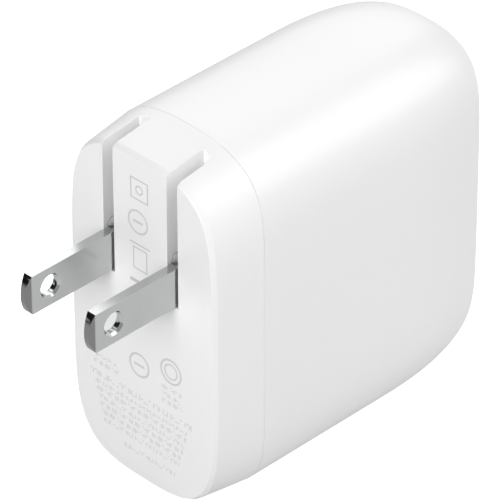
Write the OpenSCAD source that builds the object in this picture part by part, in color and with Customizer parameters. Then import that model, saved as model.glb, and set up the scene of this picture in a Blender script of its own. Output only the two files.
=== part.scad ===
// Folding-plug wall charger with two USB-C ports.
// The origin is midway between the two plug blades, on the face that meets the wall.
// The blades point along -Y, the ports face +Y, and +Z is up.

/* [Housing] */
// Width of the body across its two broad sides
body_w = 30; // [29:0.5:38]
// Height of the body
body_h = 58.2; // [56:0.5:72]
// Depth from the wall face to the port end
body_d = 57.4; // [56:0.5:70]
// Wall thickness of the shells
wall = 2; // [1.6:0.1:2.4]
// How far the port end draws in on each side
end_in = 5.3; // [3:0.1:5.5]
// Length over which the port end draws in
end_len = 20; // [12:0.5:22]
// Height of the blades above the middle of the body
plug_rise = 9.6; // [8:0.1:12]

/* [Plug cap] */
// Depth of the front cap that carries the plug
cap_d = 9.4; // [9.2:0.1:12]
// How much narrower the wall face is than the body, on each side
face_in_x = 1; // [0.6:0.1:1.4]
// How much shorter the wall face is than the body, at each end
face_in_z = 1.7; // [1:0.1:2.2]
// Length of the lip that enters the rear housing
lip_len = 2.6; // [1.5:0.1:3.5]
// Thickness of the lip
lip_t = 0.9; // [0.7:0.05:1.1]
// Clearance between the lip and the rear housing
lip_gap = 0.1; // [0.05:0.01:0.15]
// Size of the fine groove at the seam
seam_bevel = 0.15; // [0.05:0.01:0.3]

/* [Blades] */
// Distance between the centres of the two blades
blade_pitch = 12.7; // [12.7]
// Width of a blade
blade_w = 6.35; // [6:0.05:6.5]
// Thickness of a blade
blade_t = 1.5; // [1.4:0.05:1.65]
// How far the blades stand out from the wall face
blade_reach = 16.5; // [15.9:0.1:18.3]
// Distance from the wall face to the hole in a blade
hole_reach = 11.9; // [11:0.1:12.5]
// Diameter of the hole in a blade
hole_d = 3.2; // [3:0.05:3.5]
// Length of the thinned tip
tip_len = 1.05; // [0.8:0.05:2]
// How much the tip thins on each side
tip_in = 0.35; // [0.2:0.05:0.5]
// Radius of the rounded end of a blade
tip_r = 5; // [4:0.1:8]

/* [Folding plug] */
// Distance from the wall face to the pivot
pivot_y = 3.7; // [3.6:0.05:4.5]
// Clearance on each side of a blade in its slot
slot_gap = 0.3; // [0.2:0.05:0.45]
// Clearance around the turning blade root
root_gap = 0.32; // [0.25:0.01:0.5]
// Radius of the blade carrier
carrier_r = 2.7; // [2.4:0.05:2.8]
// Length of the blade carrier between its journals
carrier_len = 20.8; // [20:0.1:21.4]
// How far the cheeks beside each blade rise above the pivot
cheek_h = 3.95; // [3.7:0.05:4.1]
// Width of each cheek
cheek_w = 1.6; // [1:0.1:1.7]
// Radius of the carrier's journals
journal_r = 1.5; // [1.2:0.05:1.8]
// Length of each journal
journal_len = 1.4; // [1:0.1:1.5]
// Running clearance of the journals
journal_gap = 0.05; // [0.02:0.01:0.08]
// Depth of the flats that the detent spring meets
detent_flat = 0.2; // [0.1:0.05:0.3]
// Clearance between the turning plug and its springs
spring_gap = 0.2; // [0.15:0.01:0.3]

/* [Ports] */
// Distance between the centres of the two ports
port_pitch = 15; // [13:0.5:18]
// Width of a port's steel shell
port_w = 8.94; // [8.94]
// Thickness of a port's steel shell
port_t = 3.26; // [3.26]
// Sheet thickness of a port's shell
port_wall = 0.3; // [0.25:0.01:0.35]
// Length of a port's shell
port_len = 8.6; // [7.4:0.1:9.5]
// Clearance around a port in the housing
port_gap = 0.15; // [0.05:0.01:0.3]
// Depth of a port's mouth below the end of the housing
port_inset = 0.3; // [0:0.05:0.6]

/* [Circuit boards] */
// Thickness of the main board
board_t = 1.2; // [1:0.1:1.6]
// Distance from the housing's inner back wall to the main board
board_back = 9; // [8.5:0.5:12]
// Clearance between the corners of the main board and the housing's curved inner wall
board_edge = 0.64; // [0.3:0.01:1.5]
// Distance from the housing's inner wall to the main board
board_gap = 1.4; // [1.2:0.1:2]
// Distance from the cap's lip to the main board
board_front = 1.4; // [0.5:0.1:3]
// Thickness of the port board
port_board_t = 1; // [0.8:0.1:1.2]
// How far the port board reaches past the back of the ports
port_board_front = 5; // [4:0.1:6]

/* [Components] */
// Diameter of the two main capacitors
bulk_d = 11.5; // [10:0.1:13.8]
// Gap between the tops of the main capacitors and the heat spreader
bulk_gap = 1.2; // [0.5:0.1:4]
// Length of the transformer along the depth
xfmr_len = 17; // [15:0.5:19]
// Height of the transformer
xfmr_h = 17; // [15:0.5:18]
// How far the transformer stands off the board
xfmr_rise = 16.5; // [14:0.5:19.5]
// Outer diameter of the choke
choke_d = 11.6; // [10:0.2:14]
// Diameter of the two output capacitors
out_cap_d = 6.3; // [5:0.1:6.3]
// Height of the two output capacitors
out_cap_h = 6; // [5:0.1:6.5]
// Thickness of the aluminium heat spreader
spreader_t = 0.8; // [0.5:0.1:1]
// Thickness of the insulating sheets
sheet_t = 0.25; // [0.15:0.05:0.4]

/* [Hidden] */
// Sides of the smooth outlines, and of the small round features
ring_n = 72;
round_n = 48;
// Powers of the body's outline: sides, top and bottom, and the rounding of the port end
side_p = 2.52;
top_p = 6.72;
end_p = 2.2;
// Powers of the wall face's outline
face_side_p = 3.25;
face_top_p = 5.35;
// Steps along the cap's flank and along the port end
flank_steps = 4;
end_steps = 9;
// Rounding of the wall face's edge: how far it draws in and over what depth
edge_in = 0.25;
edge_d = 0.8;
// Cuts run this far past a surface
over = 1;
// Thickness of the walls around the blade slots
slot_wall = 0.8;

// Rounding of a cheek's front corner
cheek_r = 1.1;
// Radius of the key that joins the carrier's halves through each blade's root
key_r = 1.3;
// Insulating core of a port: depth of its block, and its tongue
core_d = 2.4;
tongue_t = 0.7;
tongue_w = 6.69;
tongue_len = 4.6;
// Transformer: foot, core plates, outer legs, middle leg, and how far the bobbin outruns the core
xfmr_base = 1.4;
xfmr_plate = 2.4;
xfmr_leg = 2;
xfmr_leg_r = 2.7;
xfmr_skirt = 3;
// Choke: thickness along its axis and thickness of its wire
choke_t = 5.4;
choke_wire = 0.6;
// Radius of the fuse
fuse_r = 1.7;
// Radius of the component leads
lead_r = 0.3;

half_w = body_w / 2;
half_h = body_h / 2;
mid_z = -plug_rise;
face_w = half_w - face_in_x;
face_h = half_h - face_in_z;
cavity_back = body_d - wall;
slot_w = blade_t + 2 * slot_gap;
slot_bottom = -blade_w / 2 - root_gap;
slot_d = pivot_y + blade_w / 2 + root_gap;
channel_front = pivot_y - carrier_r - 0.2;
channel_z = -slot_bottom + slot_wall;
carrier_half = carrier_len / 2;
channel_half = carrier_half + 0.2;
contact_y = pivot_y + blade_w / 2 + spring_gap;
contact_t = 0.3;
detent_y = pivot_y + carrier_r + spring_gap;
detent_t = 0.25;
retainer_y = max(pivot_y + cheek_h + 0.2, contact_y + contact_t + 0.15);
cheek_side = slot_w / 2 + 0.05;
sweep_r = norm([carrier_r - cheek_r, cheek_h - cheek_r]) + cheek_r + 0.2;
retainer_d = cap_d - retainer_y;
retainer_z = channel_z - 0.1;
contact_low = -channel_z - 1.5;
board_x = -half_w + wall + board_gap;
board_top = board_x + board_t;
board_y = cap_d + lip_len + board_front;
board_len = cavity_back - board_back - board_y;
board_h = 2 * (inner_height(board_x, board_y + board_len) - board_edge);
board_low = mid_z - board_h / 2;
port_mouth = body_d - port_inset;
port_back = port_mouth - port_len;
port_board_x = -port_t / 2 - port_board_t;
port_board_y = port_back - port_board_front;
port_board_len = cavity_back - 0.9 - port_board_y;
port_board_h = port_pitch + 13;
// How far the rails of the housing reach over the edges of the main board, and their clearance
rail_lap = 0.6;
rail_gap = 0.1;
part_gap = 0.7;
edge_gap = rail_lap + 0.3;
bulk_front_y = board_y + 0.8 + bulk_d / 2;
bulk_rear_y = bulk_front_y + bulk_d + part_gap;
bulk_z = board_low + board_h - edge_gap - bulk_d / 2;
xfmr_mid_y = board_y + 9 + xfmr_len / 2;
xfmr_mid_z = board_low + edge_gap + xfmr_h / 2;
choke_x = board_top + choke_d / 2;
choke_y = board_y + 2.4;
choke_z = bulk_z - bulk_d / 2 - choke_d / 2 - part_gap;
fuse_z = board_low + edge_gap + fuse_r;
out_cap_y = board_y + board_len - out_cap_d / 2 - 0.3;
spreader_x = half_w - wall - 1.2 - spreader_t;
bulk_h = spreader_x - bulk_gap - board_top;

function mix(a, b, f) = a + (b - a) * f;

function signed_pow(v, p) = sign(v) * pow(abs(v), p);

// How far the port end that closes at depth y1 draws in at depth y.
function draw_in(y, y1) =
    let (along = pow(max(0, (y - y1) / end_len + 1), end_p / 2))
    end_in * (1 - pow(1 - along * along, 1 / end_p));

// Half height of the housing's inside at x across it and depth y.
function inner_height(x, y) =
    let (in = wall + draw_in(y, cavity_back))
    (half_h - in) * pow(1 - pow(abs(x) / (half_w - in), side_p), 1 / top_p);

// One closed outline in the XZ plane at depth y: half width a, half height b, powers p and q.
function outline(a, b, p, q, y) =
    [for (i = [0:ring_n - 1])
        let (t = 360 * i / ring_n)
        [a * signed_pow(cos(t), 2 / p), y, mid_z + b * signed_pow(sin(t), 2 / q)]];

// A solid through outlines that run from low y to high y.
module loft(rings) {
    n = len(rings[0]);
    last = len(rings) - 1;
    points = [for (r = rings) for (p = r) p];
    front = [[for (i = [n - 1:-1:0]) i]];
    back = [[for (i = [0:n - 1]) last * n + i]];
    near_side = [for (k = [0:last - 1]) for (i = [0:n - 1])
        [k * n + i, k * n + (i + 1) % n, (k + 1) * n + (i + 1) % n]];
    far_side = [for (k = [0:last - 1]) for (i = [0:n - 1])
        [k * n + i, (k + 1) * n + (i + 1) % n, (k + 1) * n + i]];
    polyhedron(points = points, faces = concat(front, back, near_side, far_side), convexity = 6);
}

// The cap's flank widens from the wall face to the seam; in draws every outline inwards.
function flank(in, y0, y1) =
    [for (k = [0:flank_steps])
        let (y = mix(y0, y1, k / flank_steps), f = y / cap_d)
        outline(mix(face_w + edge_in, half_w, f) - in, mix(face_h + edge_in, half_h, f) - in,
            mix(face_side_p, side_p, f), mix(face_top_p, top_p, f), y)];

// The body runs straight from y0 and then draws in to the port end at y1.
function rear(in, y0, y1) =
    concat([outline(half_w - in, half_h - in, side_p, top_p, y0)],
        [for (k = [0:end_steps])
            let (t = 90 * k / end_steps,
                along = pow(sin(t), 2 / end_p),
                across = end_in * (1 - pow(max(cos(t), 0), 2 / end_p)) + in)
            outline(half_w - across, half_h - across, side_p, top_p, mix(y1 - end_len, y1, along))]);

// Outside of the plug cap, with its crisp wall face and a fine bevel at the seam.
module cap_outside() {
    face = outline(face_w, face_h, face_side_p, face_top_p, 0);
    seam = outline(half_w - seam_bevel, half_h - seam_bevel, side_p, top_p, cap_d);
    loft(concat([face], flank(0, edge_d, cap_d - seam_bevel), [seam]));
}

// Outside of the rear housing, from the seam to the port end.
module housing_outside() {
    seam = outline(half_w - seam_bevel, half_h - seam_bevel, side_p, top_p, cap_d);
    loft(concat([seam], rear(0, cap_d + seam_bevel, body_d)));
}

// A straight prism of the body's outline, drawn in by a wall.
module body_prism(in, y0, y1) {
    loft([outline(half_w - in, half_h - in, side_p, top_p, y0),
        outline(half_w - in, half_h - in, side_p, top_p, y1)]);
}

module box(low, high) {
    translate(low)
        cube(high - low);
}

// A bar with its length along X.
module x_rod(r, x0, x1, y, z) {
    translate([x0, y, z])
        rotate([0, 90, 0])
            cylinder(r = r, h = x1 - x0, $fn = round_n);
}

// A bar with its length along Y.
module y_rod(r, x, y0, y1, z) {
    translate([x, y0, z])
        rotate([-90, 0, 0])
            cylinder(r = r, h = y1 - y0, $fn = round_n);
}

// A bar with a flat-sided oval section: t across X and w across Z.
module oval_bar(t, w, y0, y1, z) {
    straight = (w - t) / 2;
    box([-t / 2, y0, z - straight], [t / 2, y1, z + straight]);
    y_rod(t / 2, 0, y0, y1, z - straight);
    y_rod(t / 2, 0, y0, y1, z + straight);
}

// The slot that takes one folded blade, open at the wall face and at the top.
module blade_slot(side, grow) {
    x = side * blade_pitch / 2;
    half = slot_w / 2 + grow;
    box([x - half, -over, slot_bottom - grow], [x + half, slot_d + grow, half_h]);
}

// The space across the cap in which the blade carrier turns, open at the back.
module carrier_channel() {
    r = 1.2;
    back = cap_d + over;
    box([-channel_half, channel_front + r, -channel_z], [channel_half, back, channel_z]);
    box([-channel_half, channel_front, -channel_z + r], [channel_half, back, channel_z - r]);
    for (end = [-1, 1])
        x_rod(r, -channel_half, channel_half, channel_front + r, end * (channel_z - r));
    intersection() {
        x_rod(sweep_r, -channel_half, channel_half, pivot_y, 0);
        box([-channel_half, channel_front, 0], [channel_half, back, 2 * sweep_r]);
    }
}

// Half-round seats for the carrier's journals, open towards the back.
module journal_seats() {
    r = journal_r + journal_gap;
    end = carrier_half + journal_len + journal_gap;
    x_rod(r, -end, end, pivot_y, 0);
    box([-end, pivot_y, -r], [end, cap_d + over, r]);
}

module plug_cap() {
    ear_z = journal_r + 1.8;
    color("white")
        difference() {
            union() {
                difference() {
                    cap_outside();
                    loft(flank(wall, wall, cap_d + over));
                }
                difference() {
                    body_prism(wall - lip_t, cap_d - wall, cap_d + lip_len);
                    body_prism(wall, cap_d - wall - over, cap_d + lip_len + over);
                }
                intersection() {
                    cap_outside();
                    union() {
                        blade_slot(-1, slot_wall);
                        blade_slot(1, slot_wall);
                        box([-half_w, wall / 2, -ear_z], [half_w, retainer_y, ear_z]);
                    }
                }
            }
            blade_slot(-1, 0);
            blade_slot(1, 0);
            carrier_channel();
            journal_seats();
        }
}

// Rail that holds one long edge of the main board; way is 1 at the upper edge and -1 at the lower.
module board_rail(way) {
    edge = way > 0 ? board_low + board_h : board_low;
    z = [edge - way * rail_lap, edge + way * 1.2];
    difference() {
        box([-half_w, board_y + 1, min(z)], [board_top + 1, board_y + board_len - 3, max(z)]);
        box([board_x - rail_gap, board_y, board_low - rail_gap],
            [board_top + rail_gap, board_y + board_len, board_low + board_h + rail_gap]);
    }
}

module main_housing() {
    color("white")
        difference() {
            housing_outside();
            difference() {
                loft(rear(wall, cap_d - over, cavity_back));
                board_rail(-1);
                board_rail(1);
            }
            body_prism(wall - lip_t - lip_gap, cap_d - over, cap_d + lip_len + lip_gap);
            for (end = [-1, 1])
                oval_bar(port_t + 2 * port_gap, port_w + 2 * port_gap, cavity_back - over,
                    body_d + over, mid_z + end * port_pitch / 2);
        }
}

// Plate behind the blade carrier, with two fingers that close the journal seats.
module plug_retainer() {
    inner = channel_half + journal_gap;
    outer = carrier_half + journal_len;
    color("gainsboro")
        difference() {
            union() {
                box([-outer, retainer_y, -retainer_z], [outer, cap_d, retainer_z]);
                for (side = [-1, 1])
                    box([min(side * inner, side * outer), pivot_y + 0.2, -journal_r],
                        [max(side * inner, side * outer), cap_d, journal_r]);
            }
            x_rod(journal_r + journal_gap, -half_w, half_w, pivot_y, 0);
        }
}

// Outline of a blade seen from the side: a rounded root at the pivot and a rounded tip.
module blade_side() {
    intersection() {
        union() {
            translate([pivot_y, 0])
                circle(r = blade_w / 2, $fn = round_n);
            translate([-blade_reach, -blade_w / 2])
                square([blade_reach + pivot_y, blade_w]);
        }
        union() {
            translate([tip_r - blade_reach, 0])
                circle(r = tip_r, $fn = 2 * round_n);
            translate([tip_r - blade_reach, -blade_w])
                square([2 * blade_reach, 2 * blade_w]);
        }
    }
}

// Outline of a blade seen from above, thinned at the tip.
module blade_top() {
    half = blade_t / 2;
    back = pivot_y + blade_w;
    polygon([[-half + tip_in, -blade_reach - over], [half - tip_in, -blade_reach - over],
        [half - tip_in, -blade_reach], [half, -blade_reach + tip_len], [half, back],
        [-half, back], [-half, -blade_reach + tip_len], [-half + tip_in, -blade_reach]]);
}

// A flat blade with the bevelled hole near its tip and the hole that keys it to the carrier.
module blade(side) {
    x = side * blade_pitch / 2;
    half = blade_t / 2;
    bevel = 0.2;
    color("silver")
        difference() {
            intersection() {
                translate([x, 0, 0])
                    rotate([90, 0, 90])
                        linear_extrude(height = blade_t, center = true)
                            blade_side();
                translate([x, 0, -blade_w])
                    linear_extrude(height = 2 * blade_w)
                        blade_top();
            }
            x_rod(hole_d / 2, x - blade_t, x + blade_t, -hole_reach, 0);
            for (face = [-1, 1])
                translate([x + face * (half + 0.01), -hole_reach, 0])
                    rotate([0, -face * 90, 0])
                        cylinder(r1 = hole_d / 2 + bevel + 0.01, r2 = hole_d / 2, h = bevel + 0.01,
                            $fn = round_n);
            x_rod(key_r, x - blade_t, x + blade_t, pivot_y, 0);
        }
}

module blade_left() {
    blade(-1);
}

module blade_right() {
    blade(1);
}

// Cheek of the carrier between x0 and x1, with its front corner rounded.
module cheek(x0, x1) {
    front = pivot_y - carrier_r;
    box([x0, front, 0], [x1, pivot_y, cheek_h - cheek_r]);
    box([x0, front + cheek_r, 0], [x1, pivot_y, cheek_h]);
    x_rod(cheek_r, x0, x1, front + cheek_r, cheek_h - cheek_r);
}

// The moulded bar that carries both blades and turns on its two journals.
module blade_carrier() {
    flat_w = blade_pitch - 2 * (cheek_side + cheek_w + 0.25);
    color("whitesmoke")
        difference() {
            union() {
                x_rod(carrier_r, -carrier_half, carrier_half, pivot_y, 0);
                x_rod(journal_r, -carrier_half - journal_len, carrier_half + journal_len, pivot_y, 0);
                for (x = [-blade_pitch / 2, blade_pitch / 2]) {
                    cheek(x - cheek_side - cheek_w, x - cheek_side);
                    cheek(x + cheek_side, x + cheek_side + cheek_w);
                }
            }
            for (side = [-1, 1])
                difference() {
                    box([side * blade_pitch / 2 - blade_t / 2, pivot_y - blade_w, -blade_w / 2],
                        [side * blade_pitch / 2 + blade_t / 2, pivot_y + blade_w, blade_w / 2]);
                    x_rod(key_r, -carrier_half, carrier_half, pivot_y, 0);
                }
            box([-flat_w / 2, pivot_y + carrier_r - detent_flat, -carrier_r],
                [flat_w / 2, pivot_y + carrier_r + over, carrier_r]);
            box([-flat_w / 2, pivot_y - carrier_r, carrier_r - detent_flat],
                [flat_w / 2, pivot_y + carrier_r, carrier_r + over]);
        }
}

// A bent leaf whose flat middle meets the carrier's flats.
module detent_spring() {
    half_x = 3;
    half_z = 2.4;
    color("darkgray")
        difference() {
            box([-half_x, detent_y, -half_z], [half_x, retainer_y, half_z]);
            box([-half_x - over, detent_y + detent_t, -half_z + detent_t],
                [half_x + over, retainer_y + over, half_z - detent_t]);
        }
}

// A leaf that meets the root of one blade, with a strap that runs to the main board.
module contact_spring(side, low) {
    x = side * blade_pitch / 2;
    half = 0.8;
    color("goldenrod") {
        box([x - half, contact_y, low], [x + half, contact_y + contact_t, 2.6]);
        box([x - half, contact_y, low - contact_t], [x + half, board_y + 1.8, low]);
        box([board_top, board_y + 0.4, low - contact_t], [x + half, board_y + 1.8, low]);
    }
}

module contact_spring_left() {
    contact_spring(-1, contact_low);
}

module contact_spring_right() {
    contact_spring(1, contact_low - 2);
}

module main_board() {
    color("darkgreen")
        box([board_x, board_y, board_low], [board_top, board_y + board_len, board_low + board_h]);
}

module port_board() {
    color("darkgreen")
        box([port_board_x, port_board_y, mid_z - port_board_h / 2],
            [port_board_x + port_board_t, port_board_y + port_board_len, mid_z + port_board_h / 2]);
}

// Header block with its row of pins between the main board and the port board.
module board_link() {
    pins = 5;
    pitch = 2;
    low = mid_z - 3;
    y = port_board_y + 1.4;
    color("dimgray")
        difference() {
            box([board_top, y - 1, low], [port_board_x, y + 1, low + pins * pitch]);
            for (k = [1:pins - 1])
                translate([0, 0, low + k * pitch])
                    box([board_top + 2, y - 2, -0.4], [port_board_x - 1, y + 2, 0.4]);
        }
}

// Steel shell of one port, open at the mouth.
module port_shell(end) {
    z = mid_z + end * port_pitch / 2;
    color("lightgray")
        difference() {
            oval_bar(port_t, port_w, port_back, port_mouth, z);
            oval_bar(port_t - 2 * port_wall, port_w - 2 * port_wall, port_back - over,
                port_mouth + over, z);
        }
}

module port_shell_upper() {
    port_shell(1);
}

module port_shell_lower() {
    port_shell(-1);
}

// Insulating block at the back of one port, with the thin tongue that a plug slides over.
module port_core(end) {
    z = mid_z + end * port_pitch / 2;
    color("black")
        union() {
            oval_bar(port_t - 2 * port_wall, port_w - 2 * port_wall, port_back, port_back + core_d, z);
            box([-tongue_t / 2, port_back, z - tongue_w / 2],
                [tongue_t / 2, port_back + core_d + tongue_len, z + tongue_w / 2]);
        }
}

module port_core_upper() {
    port_core(1);
}

module port_core_lower() {
    port_core(-1);
}

// Rows of contact strips on both faces of one port's tongue.
module port_contacts(end) {
    count = 12;
    pitch = 0.5;
    strip_w = 0.26;
    strip_t = 0.06;
    z = mid_z + end * port_pitch / 2;
    color("gold")
        for (face = [0, 1])
            for (k = [0:count - 1])
                translate([face * (tongue_t + strip_t) - tongue_t / 2 - strip_t,
                    port_back + core_d, z + (k - (count - 1) / 2) * pitch - strip_w / 2])
                    cube([strip_t, tongue_len - 0.5, strip_w]);
}

module port_contacts_upper() {
    port_contacts(1);
}

module port_contacts_lower() {
    port_contacts(-1);
}

// Ferrite core with a round middle leg and two outer legs; the winding's axis runs along X.
module transformer_core() {
    half_y = xfmr_len / 2 - xfmr_skirt;
    half_z = xfmr_h / 2;
    low = board_top + xfmr_base;
    high = board_top + xfmr_rise;
    color("dimgray")
        translate([0, xfmr_mid_y, xfmr_mid_z])
            union() {
                difference() {
                    box([low, -half_y, -half_z], [high, half_y, half_z]);
                    box([low + xfmr_plate, -half_y - over, -half_z + xfmr_leg],
                        [high - xfmr_plate, half_y + over, half_z - xfmr_leg]);
                }
                x_rod(xfmr_leg_r, low + xfmr_plate / 2, high - xfmr_plate / 2, 0, 0);
            }
}

// Spool on the middle leg, with two flanges and the feet that stand on the board.
module transformer_bobbin() {
    gap = 0.1;
    flange_t = 0.8;
    half_y = xfmr_len / 2;
    half_z = xfmr_h / 2 - xfmr_leg - gap;
    low = board_top + xfmr_base + xfmr_plate + gap;
    high = board_top + xfmr_rise - xfmr_plate - gap;
    foot = xfmr_skirt - 0.5;
    color("saddlebrown")
        translate([0, xfmr_mid_y, xfmr_mid_z])
            difference() {
                union() {
                    box([low, -half_y, -half_z], [low + flange_t, half_y, half_z]);
                    box([high - flange_t, -half_y, -half_z], [high, half_y, half_z]);
                    x_rod(xfmr_leg_r + gap + flange_t, low, high, 0, 0);
                    box([board_top, -half_y, -half_z], [low + flange_t / 2, -half_y + foot, half_z]);
                    box([board_top, half_y - foot, -half_z], [low + flange_t / 2, half_y, half_z]);
                }
                x_rod(xfmr_leg_r + gap, low - over, high + over, 0, 0);
            }
}

// Copper winding under its tape, between the bobbin's flanges.
module transformer_winding() {
    low = board_top + xfmr_base + xfmr_plate + 1;
    high = board_top + xfmr_rise - xfmr_plate - 1;
    color("gold")
        translate([0, xfmr_mid_y, xfmr_mid_z])
            difference() {
                x_rod(xfmr_h / 2 - xfmr_leg - 0.2, low, high, 0, 0);
                x_rod(xfmr_leg_r + 1, low - over, high + over, 0, 0);
            }
}

// A can capacitor that stands on the main board, with a crimped groove near its foot.
module can_capacitor(d, h, y, z) {
    groove = 0.3;
    difference() {
        x_rod(d / 2, board_top, board_top + h, y, z);
        translate([board_top + 1.8, y, z])
            rotate([0, 90, 0])
                rotate_extrude($fn = round_n)
                    translate([d / 2, 0])
                        circle(r = groove, $fn = 16);
    }
}

module main_capacitor_front() {
    color("darkslategray")
        can_capacitor(bulk_d, bulk_h, bulk_front_y, bulk_z);
}

module main_capacitor_rear() {
    color("darkslategray")
        can_capacitor(bulk_d, bulk_h, bulk_rear_y, bulk_z);
}

module output_capacitors() {
    color("silver")
        for (k = [0, 1])
            can_capacitor(out_cap_d, out_cap_h, out_cap_y,
                board_low + edge_gap + out_cap_d / 2 + k * (out_cap_d + part_gap));
}

// Ferrite ring of the mains choke; its axis runs along Y.
module choke_core() {
    color("dimgray")
        difference() {
            y_rod(choke_d / 2 - choke_wire, choke_x, choke_y + choke_wire,
                choke_y + choke_t - choke_wire, choke_z);
            y_rod(choke_d / 4 + choke_wire, choke_x, choke_y - over, choke_y + choke_t + over, choke_z);
        }
}

// Two half windings on the choke's ring, apart at the top and at the foot.
module choke_winding() {
    gap = 1;
    color("peru")
        difference() {
            y_rod(choke_d / 2, choke_x, choke_y, choke_y + choke_t, choke_z);
            y_rod(choke_d / 4, choke_x, choke_y - over, choke_y + choke_t + over, choke_z);
            difference() {
                y_rod(choke_d / 2 - choke_wire, choke_x, choke_y + choke_wire,
                    choke_y + choke_t - choke_wire, choke_z);
                y_rod(choke_d / 4 + choke_wire, choke_x, choke_y, choke_y + choke_t, choke_z);
            }
            box([choke_x - choke_d, choke_y - over, choke_z - gap],
                [choke_x + choke_d, choke_y + choke_t + over, choke_z + gap]);
        }
}

// Film capacitor across the mains, a potted box on the board.
module mains_capacitor() {
    low = fuse_z + fuse_r + part_gap;
    high = choke_z - choke_d / 2 - part_gap;
    color("goldenrod")
        box([board_top, choke_y, low], [board_top + 10, choke_y + 5, high]);
}

// Disc capacitor between the mains side and the output side, on its two leads.
module safety_capacitor() {
    x = board_top + 4.6;
    y = xfmr_mid_y;
    z = xfmr_mid_z + xfmr_h / 2 + part_gap + 1.2;
    color("royalblue") {
        translate([x, y, z - 1.2])
            cylinder(r = 3.4, h = 2.4, $fn = round_n);
        for (end = [-1, 1])
            x_rod(lead_r, board_top, x, y + end * 2.2, z);
    }
}

// Cylindrical mains fuse on its two leads.
module fuse() {
    x = board_top + fuse_r + 0.9;
    color("sienna") {
        y_rod(fuse_r, x, board_y + 0.8, board_y + 7.8, fuse_z);
        for (end = [0, 1])
            x_rod(lead_r, board_top, x, board_y + 1.6 + end * 5.4, fuse_z);
    }
}

// Flat package on the back of the main board.
module back_package(y, z, len, high, thick) {
    box([board_x - thick, y, z], [board_x, y + len, z + high]);
}

module bridge_rectifier() {
    color("dimgray")
        back_package(board_y + 3, mid_z + 2, 8, 7, 1);
}

module power_switch() {
    color("dimgray")
        back_package(board_y + 15, mid_z - 4, 6, 8, 0.9);
}

module port_controller() {
    color("dimgray")
        box([port_board_x - 0.8, port_back + 1, mid_z - 2.5], [port_board_x, port_back + 6, mid_z + 2.5]);
}

// Aluminium sheet beside the tall components, with a folded foot over the transformer.
module heat_spreader() {
    low = board_low + 3;
    high = board_low + board_h - 3;
    color("lightgray")
        union() {
            box([spreader_x, board_y, low], [spreader_x + spreader_t, board_y + board_len - 5, high]);
            box([spreader_x - 2, board_y, low], [spreader_x + spreader_t, board_y + spreader_t, high]);
        }
}

// Thin sheet between the back of the main board and the housing.
module insulating_sheet() {
    x = -half_w + wall + 0.15;
    color("khaki")
        box([x, board_y + 1, mid_z - 13], [x + sheet_t, board_y + 26, mid_z + 13]);
}

plug_cap();
main_housing();
plug_retainer();
blade_carrier();
blade_left();
blade_right();
detent_spring();
contact_spring_left();
contact_spring_right();
main_board();
port_board();
board_link();
port_shell_upper();
port_shell_lower();
port_core_upper();
port_core_lower();
port_contacts_upper();
port_contacts_lower();
transformer_core();
transformer_bobbin();
transformer_winding();
main_capacitor_front();
main_capacitor_rear();
choke_core();
choke_winding();
mains_capacitor();
safety_capacitor();
fuse();
bridge_rectifier();
power_switch();
port_controller();
output_capacitors();
heat_spreader();
insulating_sheet();
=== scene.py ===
"""Wall charger with a folding two-blade plug and two USB-C ports.

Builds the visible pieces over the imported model, gives every piece its finish and sets up a
plain studio. The origin is on the wall face between the blades, -Y points along the blades,
+Y towards the ports and +Z up. All lengths are in metres.
"""

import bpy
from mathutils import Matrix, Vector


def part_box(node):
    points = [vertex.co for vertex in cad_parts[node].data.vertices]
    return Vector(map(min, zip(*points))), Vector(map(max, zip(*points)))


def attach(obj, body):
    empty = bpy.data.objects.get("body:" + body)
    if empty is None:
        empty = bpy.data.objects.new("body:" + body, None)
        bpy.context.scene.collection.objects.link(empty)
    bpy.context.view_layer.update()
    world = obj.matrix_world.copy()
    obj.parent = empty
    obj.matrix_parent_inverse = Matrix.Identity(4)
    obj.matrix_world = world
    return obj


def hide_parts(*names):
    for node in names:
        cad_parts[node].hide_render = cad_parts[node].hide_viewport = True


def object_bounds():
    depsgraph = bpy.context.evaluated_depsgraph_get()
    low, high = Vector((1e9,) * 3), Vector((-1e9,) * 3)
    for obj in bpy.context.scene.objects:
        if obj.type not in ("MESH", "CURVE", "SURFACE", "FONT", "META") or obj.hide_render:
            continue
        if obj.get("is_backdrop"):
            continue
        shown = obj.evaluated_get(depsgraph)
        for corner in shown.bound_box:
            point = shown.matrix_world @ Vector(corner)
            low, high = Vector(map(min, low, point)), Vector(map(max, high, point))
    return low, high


bl_info = {
    "name": "Folding Plug Wall Charger",
    "version": (1, 0, 0),
    "blender": (4, 5, 0),
    "location": "3D View > Sidebar > Charger",
    "description": "Models a wall charger piece by piece and lights it in a plain studio",
    "category": "Object",
}

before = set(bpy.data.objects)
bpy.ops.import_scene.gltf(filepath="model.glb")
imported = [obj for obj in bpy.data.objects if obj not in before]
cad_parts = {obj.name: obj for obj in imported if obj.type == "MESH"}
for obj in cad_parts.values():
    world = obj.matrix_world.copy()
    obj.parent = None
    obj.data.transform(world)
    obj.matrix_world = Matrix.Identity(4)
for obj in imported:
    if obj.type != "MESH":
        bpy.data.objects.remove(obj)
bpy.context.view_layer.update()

import math

import bmesh
import bpy
import numpy as np
from mathutils import Matrix, Vector

MM = 0.001
TINY = 0.001 * MM
NIL = 1e-9
CAP_LOW, CAP_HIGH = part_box("plug_cap")
HOUSING_LOW, HOUSING_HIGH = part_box("main_housing")
BLADE_LOW, BLADE_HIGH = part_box("blade_right")
CARRIER_LOW, CARRIER_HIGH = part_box("blade_carrier")
SHELL_LOW, SHELL_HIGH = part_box("port_shell_upper")
LOWER_SHELL_LOW, LOWER_SHELL_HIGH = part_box("port_shell_lower")
BODY = "charger_body"
PLUG = "folding_plug"


# ---------------------------------------------------------------------------------------------
# Sizes and colours


def length(name, description, default):
    return bpy.props.FloatProperty(
        name=name, description=description, default=default, unit="LENGTH", precision=5
    )


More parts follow.
